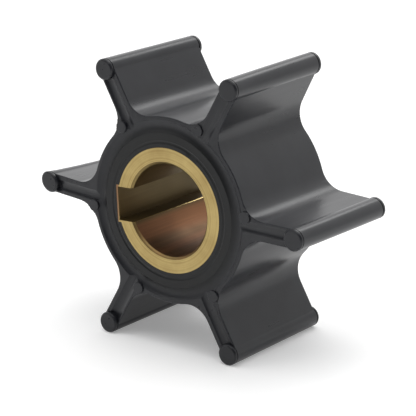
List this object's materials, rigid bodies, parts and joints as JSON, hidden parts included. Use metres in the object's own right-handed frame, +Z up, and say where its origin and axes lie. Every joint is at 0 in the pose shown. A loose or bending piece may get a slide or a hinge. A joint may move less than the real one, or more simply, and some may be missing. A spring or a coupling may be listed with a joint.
{
  "type": "pump impeller",
  "caption": "Flexible rubber pump impeller with straight bead-tipped radial blades, moulded on a brass bush with a keyway in its bore.",
  "frame": {"origin": "on the shaft axis, half way along the part, which is the centre of its box", "axes": "+Y along the shaft axis, away from the face with the moulding pips; +Z up with the part standing on its two lower blade tips; +X to the right seen from that face"},
  "size_m": [0.0454, 0.02, 0.0398],
  "materials": {
    "rubber_impeller": "matt moulded neoprene",
    "brass_bush": "turned, slightly dull"
  },
  "bodies": {
    "root": {"rubber_impeller": "rubber_impeller", "brass_bush": "brass_bush"}
  },
  "joints": []
}
